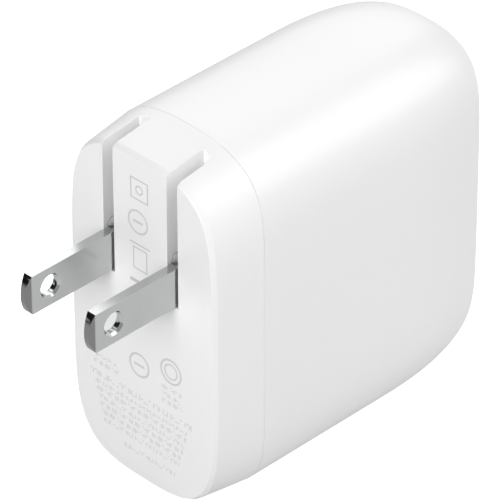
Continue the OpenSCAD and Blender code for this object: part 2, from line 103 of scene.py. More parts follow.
def colour(name, description, default):
    return bpy.props.FloatVectorProperty(
        name=name, description=description, default=default, subtype="COLOR", size=3, min=0, max=1
    )


def strength(name, description, default):
    return bpy.props.FloatProperty(name=name, description=description, default=default, min=0)


def bearing(name, description, degrees):
    return bpy.props.FloatProperty(
        name=name, description=description, default=math.radians(degrees), subtype="ANGLE"
    )


class ChargerShellSizes(bpy.types.PropertyGroup):
    width: length("Width", "Across the two broad sides", HOUSING_HIGH[0] - HOUSING_LOW[0])
    height: length("Height", "From the bottom to the top", HOUSING_HIGH[2] - HOUSING_LOW[2])
    depth: length("Depth", "From the wall face to the port end", HOUSING_HIGH[1])
    middle: length(
        "Middle", "Height of the body's middle", (HOUSING_HIGH[2] + HOUSING_LOW[2]) / 2
    )
    cap_depth: length("Cap Depth", "From the wall face to the seam", HOUSING_LOW[1])
    wall: length("Wall", "Thickness of the shells", 2 * MM)
    face_in_x: length("Face In, Sides", "How much narrower the wall face is, each side", MM)
    face_in_z: length("Face In, Ends", "How much shorter the wall face is, each end", 1.7 * MM)
    edge_in: length("Edge Width", "How far the wall face's rim draws in", 0.31 * MM)
    edge_depth: length("Edge Depth", "Over what depth the wall face's rim turns", 0.8 * MM)
    edge_round: length("Edge Rounding", "Small rounding where the rim meets the face", 0.1 * MM)
    seam: length("Seam Groove", "Half the width of the groove at the seam", 0.2 * MM)
    seam_depth: length("Seam Depth", "Depth of the groove at the seam", 0.1 * MM)
    end_in: length("End In", "How far the port end draws in on each side", 5.3 * MM)
    end_length: length("End Length", "Length over which the port end draws in", 20 * MM)
    lip: length("Lip Length", "How far the cap's lip enters the housing", 2.6 * MM)
    lip_wall: length("Lip Wall", "Thickness of the cap's lip", 0.9 * MM)
    lip_gap: length("Lip Gap", "Clearance around the cap's lip", 0.1 * MM)
    mouth: length("Mouth Rounding", "Rounding of the slot mouths", 0.12 * MM)
    rail_lap: length("Rail Lap", "How far a rail laps over a board's edge", 0.6 * MM)
    rail_back: length("Rail Back", "How far a rail stands behind a board's edge", 1.2 * MM)
    rail_short: length("Rail End", "How far a rail stops before a board's end", 3 * MM)
    rail_gap: length("Rail Gap", "Clearance round a board in its rail", 0.1 * MM)


class ChargerPlugSizes(bpy.types.PropertyGroup):
    pitch: length("Pitch", "Between the middles of the blades", BLADE_LOW[0] + BLADE_HIGH[0])
    blade_width: length("Blade Width", "Of one blade, along Z", BLADE_HIGH[2] - BLADE_LOW[2])
    blade_thick: length("Blade Thickness", "Of one blade, along X", BLADE_HIGH[0] - BLADE_LOW[0])
    reach: length("Reach", "How far the blades stand out", -BLADE_LOW[1])
    hole_reach: length("Hole Reach", "From the wall face to a blade's hole", 11.9 * MM)
    hole: length("Hole", "Diameter of the hole in a blade", 3.2 * MM)
    hole_bevel: length("Hole Bevel", "Width of the bevel round the hole", 0.34 * MM)
    tip_length: length("Tip Length", "Length of the thinned tip", 1.05 * MM)
    tip_in: length("Tip In", "How much the tip thins on each side", 0.35 * MM)
    tip_radius: length("Tip Radius", "Rounding of a blade's end", 5 * MM)
    tip_reflection_fade: length("Tip Fade", "Half the width of the change to the tip's tone", 0.1 * MM)
    blade_edge: length("Blade Edge", "Rounding of a blade's edges", 0.09 * MM)
    pivot: length("Pivot", "From the wall face to the pivot", 3.7 * MM)
    slot_gap: length("Slot Gap", "Clearance beside a blade", 0.3 * MM)
    root_gap: length("Root Gap", "Clearance round a blade's root", 0.32 * MM)
    slot_wall: length("Slot Wall", "Thickness of the walls round a slot", 0.8 * MM)
    key_radius: length("Key Radius", "Of the key through a blade's root", 1.3 * MM)
    carrier_radius: length("Carrier Radius", "Of the turning bar", -CARRIER_LOW[2])
    cheek_rise: length("Cheek Rise", "Of the cheeks beside a blade", CARRIER_HIGH[2])
    cheek_width: length("Cheek Width", "Of one cheek, along X", 1.6 * MM)
    cheek_round: length("Cheek Rounding", "Of a cheek's front corner", 1.1 * MM)
    cheek_gap: length("Cheek Gap", "From a slot's side to the cheek behind it", 0.05 * MM)
    sweep_gap: length("Sweep Gap", "Clearance round the turning carrier", 0.2 * MM)
    channel_round: length("Channel Rounding", "Of the carrier channel's corners", 1.2 * MM)
    ear_wall: length("Ear Wall", "Above and below a journal's seat", 1.8 * MM)
    block_wall: length("Block Wall", "Behind a folded blade's root", 0.65 * MM)
    carrier_length: length("Carrier Length", "Of the turning bar", 20.8 * MM)
    journal_radius: length("Journal Radius", "Of the turning bar's journals", 1.5 * MM)
    journal_length: length("Journal Length", "Of one journal", 1.4 * MM)
    journal_gap: length("Journal Gap", "Running clearance of a journal", 0.05 * MM)
    flat_depth: length("Flat Depth", "Depth of the flats for the detent", 0.2 * MM)
    flat_gap: length("Flat Gap", "Between the flats and the cheeks", 0.25 * MM)
    carrier_edge: length("Carrier Edge", "Rounding of the carrier's edges", 0.08 * MM)


class ChargerPortSizes(bpy.types.PropertyGroup):
    upper: length("Upper Port", "Height of the upper port", (SHELL_HIGH[2] + SHELL_LOW[2]) / 2)
    lower: length(
        "Lower Port", "Height of the lower port", (LOWER_SHELL_HIGH[2] + LOWER_SHELL_LOW[2]) / 2
    )
    width: length("Port Width", "Of the steel shell, along Z", SHELL_HIGH[2] - SHELL_LOW[2])
    thick: length("Port Thickness", "Of the steel shell, along X", SHELL_HIGH[0] - SHELL_LOW[0])
    sheet: length("Sheet", "Thickness of the shell's steel", 0.3 * MM)
    gap: length("Port Gap", "Clearance round a port in the housing", 0.15 * MM)
    mouth: length("Mouth Rounding", "Rounding of the port openings", 0.3 * MM)
    block: length("Block Depth", "Depth of the insulating block", 2.4 * MM)
    tongue_thick: length("Tongue Thickness", "Of the tongue, along X", 0.7 * MM)
    tongue_width: length("Tongue Width", "Of the tongue, along Z", 6.69 * MM)
    tongue_length: length("Tongue Length", "Of the tongue, along Y", 4.6 * MM)
    tongue_round: length("Tongue Rounding", "Of the tongue's front corners", 0.6 * MM)
    shell_edge: length("Shell Edge", "Rounding of the steel shell's edges", 0.1 * MM)
    core_edge: length("Core Edge", "Rounding of the insulator's edges", 0.06 * MM)


class ChargerColours(bpy.types.PropertyGroup):
    shell: colour("Shell", "White moulded plastic", (0.86, 0.86, 0.86))
    # Inside: the shell's white plastic made lighter as painted light, lifting the shade in the
    # slots and hollows.
    inside: colour("Inside", "Plastic inside the slots", (0.92, 0.92, 0.92))
    ink: colour("Ink", "Signs on the wall face", (0.55, 0.55, 0.55))
    fine_ink: colour("Fine Ink", "Fine print on the wall face", (0.62, 0.62, 0.62))
    blade: colour("Blade", "Nickel plate", (0.53, 0.54, 0.54))
    # Tip: a painted dark reflection laid over the blades' tips.
    tip: colour("Tip", "Painted dark reflection on the blades' tips", (0.25, 0.25, 0.25))
    floor: colour("Floor", "Studio floor", (0.56, 0.56, 0.56))


class ChargerStudio(bpy.types.PropertyGroup):
    azimuth: bearing("Azimuth", "Camera's turn about Z", 45.12)
    elevation: bearing("Elevation", "Camera's height above the horizon", 34.93)
    roll: bearing("Roll", "Camera's turn about its view", -0.10)
    distance: length("Distance", "From the camera to the aim point", 707.6 * MM)
    aim: bpy.props.FloatVectorProperty(
        name="Aim", description="Offset of the aim point, right and up in the view",
        default=(15.135 * MM, 2.386 * MM), size=2, unit="LENGTH", precision=5,
    )
    lens: strength("Lens", "Focal length in millimetres", 367.2)
    sky: strength("Sky", "Strength of the light from all round", 0.42)
    dim_sky: strength("Dim Sky", "Strength of the light from the near left corner", 0.01)
    floor_glow: strength("Floor Glow", "Paleness added to the floor where it is seen", 1.0)
    floor_mirrored: strength("Floor Mirrored", "Paleness added where it is mirrored", 0.26)
    top_light: strength("Top Light", "Power of the overhead panel in watts", 0.02)
    left_light: strength("Left Light", "Power of the far left panel in watts", 1.7)
    right_light: strength("Right Light", "Power of the far right panel in watts", 3.25)
    front_light: strength("Front Light", "Power of the front panel in watts", 3.3)


# ---------------------------------------------------------------------------------------------
# Modelling helpers


def clear_selection():
    if bpy.context.object is not None and bpy.context.object.mode != "OBJECT":
        bpy.ops.object.mode_set(mode="OBJECT")
    bpy.ops.object.select_all(action="DESELECT")


def activate(piece):
    clear_selection()
    piece.hide_set(False)
    piece.select_set(True)
    bpy.context.view_layer.objects.active = piece


def settle(name):
    """Names the new primitive and moves its place into its mesh."""
    piece = bpy.context.object
    piece.name = piece.data.name = name
    bpy.ops.object.transform_apply(location=True, rotation=True, scale=True)
    return piece


def add_box(name, low, high):
    low, high = Vector(low), Vector(high)
    clear_selection()
    bpy.ops.mesh.primitive_cube_add(size=1, location=(low + high) / 2, scale=high - low)
    return settle(name)


def add_rod(name, radius, start, end, sides=64):
    start, end = Vector(start), Vector(end)
    clear_selection()
    bpy.ops.mesh.primitive_cylinder_add(
        vertices=sides,
        radius=radius,
        depth=(end - start).length,
        location=(start + end) / 2,
        rotation=(end - start).to_track_quat("Z", "Y").to_euler(),
    )
    return settle(name)


def add_disc(name, radius, sides, place=(0, 0, 0)):
    """A flat disc that faces along Y."""
    clear_selection()
    bpy.ops.mesh.primitive_circle_add(
        vertices=sides, radius=radius, fill_type="NGON", location=place,
        rotation=(math.pi / 2, 0, 0),
    )
    return settle(name)


def edit(piece, kind="FACE", action="DESELECT"):
    """Opens a piece for editing with nothing selected, or with everything."""
    activate(piece)
    bpy.ops.object.mode_set(mode="EDIT")
    bpy.ops.mesh.select_mode(type=kind)
    bpy.ops.mesh.select_all(action=action)


def pick(piece, kind, test):
    """Selects the faces, edges or verts of an open piece that pass a test."""
    mesh = bmesh.from_edit_mesh(piece.data)
    found = [part for part in getattr(mesh, kind) if test(part)]
    for part in found:
        part.select = True
    mesh.select_flush_mode()
    bmesh.update_edit_mesh(piece.data)
    if not found:
        raise RuntimeError(f"{piece.name}: nothing to select among its {kind}")


def extrude(x, y, z):
    bpy.ops.mesh.extrude_region_move(TRANSFORM_OT_translate={"value": (x, y, z)})


def close(piece):
    bpy.ops.object.mode_set(mode="OBJECT")
    return piece


def round_corners(piece, width, segments, test):
    """Rounds the edges that pass a test, which is given an edge's two ends."""
    edit(piece, "EDGE")
    pick(piece, "edges", lambda edge: test(*(vertex.co for vertex in edge.verts)))
    bpy.ops.mesh.bevel(offset=width, segments=segments, affect="EDGES")
    return close(piece)


def turn_outwards(piece):
    edit(piece, action="SELECT")
    bpy.ops.mesh.remove_doubles(threshold=TINY)
    bpy.ops.mesh.normals_make_consistent(inside=False)
    return close(piece)


def apply_modifier(piece, kind, **values):
    activate(piece)
    bpy.ops.object.modifier_add(type=kind)
    modifier = piece.modifiers[-1]
    for key, value in values.items():
        setattr(modifier, key, value)
    bpy.ops.object.modifier_apply(modifier=modifier.name)
    return piece


def combine(piece, other, operation):
    """Joins, cuts or trims a piece with another, which is used up."""
    apply_modifier(piece, "BOOLEAN", operation=operation, solver="EXACT", object=other)
    bpy.data.objects.remove(other)
    return piece


def cut(piece, *others):
    for other in others:
        combine(piece, other, "DIFFERENCE")
    return piece


def fuse(piece, *others):
    for other in others:
        combine(piece, other, "UNION")
    return piece


def join(name, pieces):
    activate(pieces[0])
    for piece in pieces[1:]:
        piece.select_set(True)
    bpy.ops.object.join()
    pieces[0].name = pieces[0].data.name = name
    return pieces[0]


def copy_piece(piece, name, offset):
    activate(piece)
    bpy.ops.object.duplicate()
    twin = bpy.context.object
    twin.location = offset
    return settle(name)


def round_edges(piece, width, segments=2, angle=35):
    return apply_modifier(
        piece, "BEVEL", width=width, segments=segments, limit_method="ANGLE",
        angle_limit=math.radians(angle), harden_normals=False, miter_outer="MITER_ARC",
    )


def smooth(piece, angle=35):
    """Smooth shading that keeps the flat faces flat."""
    activate(piece)
    bpy.ops.object.shade_smooth_by_angle(angle=math.radians(angle))
    return apply_modifier(piece, "WEIGHTED_NORMAL", mode="FACE_AREA", weight=60, keep_sharp=True)


def stand_in_for(piece, body, slot, *nodes):
    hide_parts(*nodes)
    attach(piece, body)


# ---------------------------------------------------------------------------------------------
# The body's outlines


def quarter_angles(count, shell):
    """Angles from 0 to 90 degrees that space an outline's points evenly along its length."""
    w = np.linspace(0, 1, 8001)
    u = np.where(w < 0.5, 0.5 * (2 * w) ** 5, 1 - 0.5 * (2 * (1 - w)) ** 5)
    t = u * math.pi / 2
    x = shell.width / 2 * np.cos(t).clip(0) ** (2 / SIDE_POWER)
    z = shell.height / 2 * np.sin(t).clip(0) ** (2 / TOP_POWER)
    run = np.concatenate([[0], np.cumsum(np.hypot(np.diff(x), np.diff(z)))])
    return list(np.interp(np.linspace(0, run[-1], count + 1), run, t))


def outline_angles(sides, shell):
    """Angles of a whole outline of that many points, the same in all four quarters."""
    quarter = quarter_angles(sides // 4, shell)[:-1]
    turn = math.pi / 2
    mirrored = [turn - t for t in reversed(quarter_angles(sides // 4, shell)[1:])]
    angles = []
    for k in range(4):
        angles += [k * turn + t for t in (quarter if k % 2 == 0 else mirrored)]
    return angles


SIDE_POWER, TOP_POWER, END_POWER = 2.52, 6.72, 2.2
FACE_SIDE_POWER, FACE_TOP_POWER = 3.25, 5.35


def outline_point(angle, ring, middle):
    """Point of a ring, which is (depth, half width, half height, side power, top power)."""
    depth, half_w, half_h, side, top = ring
    c, s = (0.0 if abs(v) < NIL else v for v in (math.cos(angle), math.sin(angle)))
    x = math.copysign(abs(c) ** (2 / side), c) * half_w
    z = math.copysign(abs(s) ** (2 / top), s) * half_h
    return Vector((x, depth, middle + z))


def loft(name, rings, shell, sides):
    """Closed skin through rings: a disc drawn out ring by ring, each laid on its outline."""
    skin = add_disc(name, 1, sides)
    edit(skin, action="SELECT")
    for _ in rings[1:]:
        extrude(0, 1, 0)
    close(skin)
    angles = outline_angles(sides, shell)
    for vertex in skin.data.vertices:
        place = round(math.atan2(vertex.co.z, vertex.co.x) / (2 * math.pi) * sides) % sides
        ring = rings[round(vertex.co.y)]
        vertex.co = outline_point(angles[place], ring, shell.middle)
    return turn_outwards(skin)


def blend_values(a, b, share):
    return [x + (y - x) * share for x, y in zip(a, b)]


def flank_ring(depth, inset, shell):
    """Outline of the cap's flank, which widens from the wall face to the seam."""
    half_w, half_h = shell.width / 2, shell.height / 2
    face = (
        half_w - shell.face_in_x + shell.edge_in,
        half_h - shell.face_in_z + shell.edge_in,
        FACE_SIDE_POWER,
        FACE_TOP_POWER,
    )
    seam = (half_w, half_h, SIDE_POWER, TOP_POWER)
    a, b, side, top = blend_values(face, seam, depth / shell.cap_depth)
    return (depth, a - inset, b - inset, side, top)


def body_ring(depth, inset, shell):
    return (
        depth, shell.width / 2 - inset, shell.height / 2 - inset, SIDE_POWER, TOP_POWER,
    )


def end_rings(inset, end, steps, shell):
    """Outlines of the port end, which draws in on a soft curve."""
    rings = []
    for k in range(steps + 1):
        t = math.pi / 2 * k / steps
        along = math.sin(t) ** (2 / END_POWER)
        across = 1 - max(math.cos(t), 0) ** (2 / END_POWER)
        depth = end - shell.end_length * (1 - along)
        rings.append(body_ring(depth, inset + shell.end_in * across, shell))
    return rings


def seam_rings(start, way, shell):
    """Rounded side of the seam's groove, from the groove's foot outwards."""
    rings = []
    for k in range(4):
        t = math.pi / 2 * k / 3
        inset = shell.seam_depth * (1 - math.sin(t))
        rings.append(body_ring(start + way * shell.seam * (1 - math.cos(t)), inset, shell))
    return rings


def paint(piece, materials, index=0):
    """Gives a piece its materials, all its faces with the one of that index."""
    piece.data.materials.clear()
    for material in materials:
        piece.data.materials.append(material)
    for face in piece.data.polygons:
        face.material_index = index
    return piece


def round_mouths(piece, width, test, segments=3):
    """Rounds the edges where a cut meets the outside, found by their two materials."""
    edit(piece, "EDGE")

    def at_mouth(edge):
        if len(edge.link_faces) != 2:
            return False
        a, b = (face.material_index for face in edge.link_faces)
        return a != b and test(*(v.co for v in edge.verts))

    pick(piece, "edges", at_mouth)
    bpy.ops.mesh.bevel(
        offset=width, segments=segments, profile=0.5, affect="EDGES", clamp_overlap=True
    )
    return close(piece)


# ---------------------------------------------------------------------------------------------
# Node groups that several finishes share


def new_group(name, inputs, outputs):
    group = bpy.data.node_groups.new(name, "ShaderNodeTree")
    for label, kind, value in inputs:
        socket = group.interface.new_socket(label, in_out="INPUT", socket_type=kind)
        if value is not None:
            socket.default_value = value
    for label, kind in outputs:
        group.interface.new_socket(label, in_out="OUTPUT", socket_type=kind)
    return group, group.nodes.new("NodeGroupInput"), group.nodes.new("NodeGroupOutput")


def feed(tree, socket, value):
    """Links a socket into an input, or sets the input to a plain value."""
    if isinstance(value, bpy.types.NodeSocket):
        tree.links.new(value, socket)
    else:
        socket.default_value = value


def send(group, result, **values):
    """Links a group's results to its outputs by name."""
    for label, value in values.items():
        group.links.new(value, result.inputs[label])
    return group


def maths(tree, operation, *values, kind="ShaderNodeMath", output="Value"):
    node = tree.nodes.new(kind)
    node.operation = operation
    for socket, value in zip(node.inputs, values):
        feed(tree, socket, value)
    return node.outputs[output]


def vector_maths(tree, operation, a, b, output):
    return maths(tree, operation, a, b, kind="ShaderNodeVectorMath", output=output)


def map_range(tree, value, **limits):
    node = tree.nodes.new("ShaderNodeMapRange")
    tree.links.new(value, node.inputs["Value"])
    for label, limit in limits.items():
        node.inputs[label.replace("_", " ")].default_value = limit
    return node.outputs["Result"]


def noise(tree, vector, scale, detail=2.0, roughness=0.5):
    node = tree.nodes.new("ShaderNodeTexNoise")
    node.inputs["Detail"].default_value = detail
    node.inputs["Roughness"].default_value = roughness
    tree.links.new(vector, node.inputs["Vector"])
    feed(tree, node.inputs["Scale"], scale)
    return node.outputs[0]


def mix_colour(tree, factor, a, b):
    node = tree.nodes.new("ShaderNodeMix")
    node.data_type = "RGBA"
    tree.links.new(factor, node.inputs["Factor"])
    for socket, value in ((node.inputs["A"], a), (node.inputs["B"], b)):
        plain = not isinstance(value, bpy.types.NodeSocket)
        feed(tree, socket, (*value, 1) if plain else value)
    return node.outputs["Result"]


def build_grain_group():
    """Fine moulded grain over slow waves: a height and a roughness that change over a face."""
    group, given, result = new_group(
        "Moulded Grain",
        [
            ("Vector", "NodeSocketVector", None),
            ("Grain Scale", "NodeSocketFloat", 9000),
            ("Wave Scale", "NodeSocketFloat", 120),
            ("Roughness", "NodeSocketFloat", 0.4),
            ("Variation", "NodeSocketFloat", 0.06),
        ],
        [("Height", "NodeSocketFloat"), ("Roughness", "NodeSocketFloat")],
    )
    fine = noise(group, given.outputs["Vector"], given.outputs["Grain Scale"], 2, 0.6)
    slow = noise(group, given.outputs["Vector"], given.outputs["Wave Scale"], 1)
    height = maths(group, "ADD", fine, maths(group, "MULTIPLY", slow, 0.25))
    spread = maths(group, "SUBTRACT", maths(group, "ADD", fine, slow), 1.0)
    change = maths(group, "MULTIPLY", spread, given.outputs["Variation"])
    rough = maths(group, "ADD", given.outputs["Roughness"], change)
    return send(group, result, Height=height, Roughness=rough)


def build_wear_group():
    """Rubbed edges: a mask that is strong where the surface turns within a short width."""
    group, given, result = new_group(
        "Edge Wear",
        [
            ("Vector", "NodeSocketVector", None),
            ("Colour", "NodeSocketColor", (0.5, 0.5, 0.5, 1)),
            ("Edge Colour", "NodeSocketColor", (0.9, 0.9, 0.9, 1)),
            ("Width", "NodeSocketFloat", 0.0001),
            ("Amount", "NodeSocketFloat", 0.5),
        ],
        [("Colour", "NodeSocketColor"), ("Mask", "NodeSocketFloat")],
    )
    bevel = group.nodes.new("ShaderNodeBevel")
    bevel.samples = 4
    group.links.new(given.outputs["Width"], bevel.inputs["Radius"])
    geometry = group.nodes.new("ShaderNodeNewGeometry")
    normals = bevel.outputs[0], geometry.outputs["Normal"]
    turned = maths(group, "SUBTRACT", 1.0, vector_maths(group, "DOT_PRODUCT", *normals, "Value"))
    patchy = maths(group, "ADD", noise(group, given.outputs["Vector"], 1500, 3), 0.35)
    strong = maths(group, "MULTIPLY", maths(group, "MULTIPLY", turned, 6.0), patchy)
    limited = maths(group, "MINIMUM", strong, 1.0)
    mask = maths(group, "MULTIPLY", limited, given.outputs["Amount"])
    mixed = mix_colour(group, mask, given.outputs["Colour"], given.outputs["Edge Colour"])
    return send(group, result, Colour=mixed, Mask=mask)


def build_lines_group():
    """Fine parallel lines of drawn or rolled metal, stretched along one direction."""
    group, given, result = new_group(
        "Drawn Lines",
        [
            ("Vector", "NodeSocketVector", None),
            ("Stretch", "NodeSocketVector", (9000, 300, 9000)),
            ("Roughness", "NodeSocketFloat", 0.2),
            ("Variation", "NodeSocketFloat", 0.08),
        ],
        [("Height", "NodeSocketFloat"), ("Roughness", "NodeSocketFloat")],
    )
    scale = given.outputs["Vector"], given.outputs["Stretch"]
    lines = noise(group, vector_maths(group, "MULTIPLY", *scale, "Vector"), 1.0, 3, 0.6)
    change = maths(group, "MULTIPLY", maths(group, "SUBTRACT", lines, 0.5),
                   given.outputs["Variation"])
    rough = maths(group, "ADD", given.outputs["Roughness"], change)
    return send(group, result, Height=lines, Roughness=rough)


GROUP_MAKERS = {"grain": build_grain_group, "wear": build_wear_group, "lines": build_lines_group}
GROUPS = {}


def shared(name):
    """A shared group, built when it is first asked for."""
    if name not in GROUPS:
        GROUPS[name] = GROUP_MAKERS[name]()
    return GROUPS[name]


def place_group(tree, name, **values):
    """Puts a shared group in a material; values are numbers or sockets by input name."""
    node = tree.nodes.new("ShaderNodeGroup")
    node.node_tree = shared(name)
    for label, value in values.items():
        feed(tree, node.inputs[label.replace("_", " ")], value)
    return node


def new_material(name, base, roughness, metallic=0.0, **sockets):
    """A Principled material with its constants set on the shader itself."""
    material = bpy.data.materials.new(name)
    material.use_nodes = True
    tree = material.node_tree
    shader = tree.nodes["Principled BSDF"]
    shader.inputs["Base Color"].default_value = (*base, 1)
    shader.inputs["Roughness"].default_value = roughness
    shader.inputs["Metallic"].default_value = metallic
    for label, value in sockets.items():
        shader.inputs[label.replace("_", " ")].default_value = value
    material.diffuse_color = (*base, 1)
    place = tree.nodes.new("ShaderNodeTexCoord").outputs["Object"]
    return material, tree, shader, place


def add_bump(tree, shader, height, distance):
    bump = tree.nodes.new("ShaderNodeBump")
    bump.inputs["Distance"].default_value = distance
    bump.inputs["Strength"].default_value = 1.0
    tree.links.new(height, bump.inputs["Height"])
    tree.links.new(bump.outputs["Normal"], shader.inputs["Normal"])


def finish_surface(built, base, surface, depth, edge, wear):
    """Adds a surface's gloss and relief to a new material and, if asked, rubbed edges."""
    material, tree, shader, place = built
    tree.links.new(surface.outputs["Roughness"], shader.inputs["Roughness"])
    add_bump(tree, shader, surface.outputs["Height"], depth)
    if edge is not None:
        worn = place_group(
            tree, "wear", Vector=place, Colour=(*base, 1), Edge_Colour=(*edge, 1), Amount=wear
        )
        tree.links.new(worn.outputs["Colour"], shader.inputs["Base Color"])
    return material


def moulded(name, base, roughness, grain=9000, depth=2e-6, variation=0.06, edge=None, **more):
    """Moulded plastic: fine grain and slightly uneven gloss."""
    built = new_material(name, base, roughness, **more)
    surface = place_group(
        built[1], "grain", Vector=built[3], Grain_Scale=grain, Roughness=roughness,
        Variation=variation,
    )
    return finish_surface(built, base, surface, depth, edge, 0.4)


def drawn_metal(name, base, roughness, stretch, depth=1e-6, variation=0.1, edge=None, **more):
    """Rolled or drawn metal: lines along one direction."""
    built = new_material(name, base, roughness, 1.0, **more)
    surface = place_group(
        built[1], "lines", Vector=built[3], Stretch=stretch, Roughness=roughness,
        Variation=variation,
    )
    return finish_surface(built, base, surface, depth, edge, 0.6)


def settings(name):
    return getattr(bpy.context.scene, "charger_" + name)


def shell_materials():
    """The shells' satin outside and their plainer inside, made once; the inside's lighter colour
    is painted light.
    """
    colours = settings("colours")
    if "White Plastic" in bpy.data.materials:
        return [bpy.data.materials["White Plastic"], bpy.data.materials["White Plastic Inside"]]
    outside = moulded(
        "White Plastic", colours.shell, 0.36, grain=7000, depth=1.5e-6, variation=0.05,
        Specular_IOR_Level=0.7,
    )
    # Painted light: the inside colour is lighter than the shell's to lift the shade in the slots
    # and hollows; its rougher finish is its own.
    inside = moulded("White Plastic Inside", colours.inside, 0.5, grain=5000, depth=3e-6)
    return [outside, inside]


# ---------------------------------------------------------------------------------------------
# Pieces


def slot_box(name, side, grow, shell, plug):
    x = side * plug.pitch / 2
    half = plug.blade_thick / 2 + plug.slot_gap + grow
    reach = plug.blade_width / 2 + plug.root_gap
    low = (x - half, -MM, -reach - grow)
    high = (x + half, plug.pivot + reach + grow, shell.height / 2)
    return add_box(name, low, high)


class CHARGER_OT_plug_cap(bpy.types.Operator):
    """Cap with the wall face, the two blade slots and the carrier's channel"""

    bl_idname = "charger.plug_cap"
    bl_label = "Plug Cap"

    def execute(self, context):
        shell, plug = settings("shell"), settings("plug")
        materials = shell_materials()
        depth, half_w = shell.cap_depth, shell.width / 2
        face = (
            0.0, half_w - shell.face_in_x, shell.height / 2 - shell.face_in_z,
            FACE_SIDE_POWER, FACE_TOP_POWER,
        )
        rim_end = flank_ring(shell.edge_depth, 0, shell)
        rim = []
        for k in range(4):
            t = math.pi / 2 * k / 3
            inset = shell.edge_round * (1 - math.sin(t))
            down = shell.edge_round * (1 - math.cos(t))
            across = blend_values(face, rim_end, down / shell.edge_depth)[1:]
            rim.append((down, across[0] - inset, across[1] - inset, *across[2:]))
        rim += [tuple(blend_values(face, rim_end, share)) for share in (0.3, 0.6, 0.9, 1.0)]
        steps = 8
        start, end = shell.edge_depth, depth - shell.seam
        flank = [
            flank_ring(start + (end - start) * k / steps, 0, shell)
            for k in (0.1, *range(1, steps))
        ]
        rings = rim + flank + list(reversed(seam_rings(depth, -1, shell)))
        cap = paint(loft("plug_cap_body", rings, shell, 240), materials)
        hollow_rings = [
            flank_ring(shell.wall + (depth + MM - shell.wall) * k / 4, shell.wall, shell)
            for k in range(5)
        ]
        cut(cap, paint(loft("cap_hollow", hollow_rings, shell, 120), materials, 1))
        lip_in = shell.wall - shell.lip_wall
        lip_end = depth + shell.lip
        lip = [body_ring(y, lip_in, shell) for y in (depth - shell.wall, lip_end)]
        bore = [
            body_ring(y, shell.wall, shell) for y in (depth - shell.wall - MM, lip_end + MM)
        ]
        collar = paint(loft("cap_lip", lip, shell, 120), materials, 1)
        cut(collar, paint(loft("cap_lip_bore", bore, shell, 120), materials, 1))

        ear = plug.journal_radius + plug.ear_wall
        back = plug.pivot + plug.blade_width / 2 + plug.block_wall
        inner = add_box("cap_block", (-half_w, shell.wall / 2, -ear), (half_w, back, ear))
        for side in (-1, 1):
            fuse(inner, slot_box("cap_slot_walls", side, plug.slot_wall, shell, plug))
        core_rings = [
            flank_ring(y, shell.wall / 2, shell) for y in (shell.wall / 2, depth / 2, depth + MM)
        ]
        combine(inner, loft("cap_core", core_rings, shell, 120), "INTERSECT")
        paint(inner, materials, 1)
        fuse(cap, inner, collar)

        for side in (-1, 1):
            cut(cap, paint(slot_box("cap_slot", side, 0, shell, plug), materials, 1))
        half = plug.carrier_length / 2 + plug.sweep_gap
        front = plug.pivot - plug.carrier_radius - plug.sweep_gap
        rise = plug.blade_width / 2 + plug.root_gap + plug.slot_wall
        channel = add_box("cap_channel", (-half, front, -rise), (half, depth + MM, rise))
        round_corners(
            channel, plug.channel_round, 8,
            lambda a, b: max(a.y, b.y) < front + TINY and abs(a.x - b.x) > half,
        )
        corner = plug.carrier_radius - plug.cheek_round, plug.cheek_rise - plug.cheek_round
        sweep = math.hypot(*corner) + plug.cheek_round + plug.sweep_gap
        swept = add_rod("cap_sweep", sweep, (-half, plug.pivot, 0), (half, plug.pivot, 0), 96)
        combine(swept, add_box("part", (-1, front, 0), (1, depth + MM, 1)), "INTERSECT")
        radius = plug.journal_radius + plug.journal_gap
        seat_end = plug.carrier_length / 2 + plug.journal_length + plug.journal_gap
        seat = add_rod("cap_seat", radius, (-seat_end, plug.pivot, 0), (seat_end, plug.pivot, 0))
        way_in = add_box(
            "cap_seat_way", (-seat_end, plug.pivot, -radius), (seat_end, depth + MM, radius)
        )
        for tool in (channel, swept, seat, way_in):
            cut(cap, paint(tool, materials, 1))
        outer_face = half_w - shell.face_in_x
        round_mouths(
            cap, shell.mouth,
            lambda a, b: max(a.y, b.y) < depth - MM and max(abs(a.x), abs(b.x)) < outer_face - MM,
        )
        smooth(cap)
        stand_in_for(cap, BODY, "white_shell", "plug_cap")
        return {"FINISHED"}


def oval_bar(name, thick, width, start, end, middle, sides=48):
    """A bar along Y with a flat-sided oval section, drawn from a parted disc."""
    straight = (width - thick) / 2
    bar = add_disc(name, thick / 2, sides, (0, start, 0))
    for way, test in ((-1, lambda v: v.co.z < -NIL), (1, lambda v: v.co.z > -NIL)):
        edit(bar, "VERT")
        pick(bar, "verts", test)
        bpy.ops.transform.translate(value=(0, 0, way * straight))
    edit(bar, action="SELECT")
    bpy.ops.transform.translate(value=(0, 0, middle))
    extrude(0, end - start, 0)
    close(bar)
    return turn_outwards(bar)


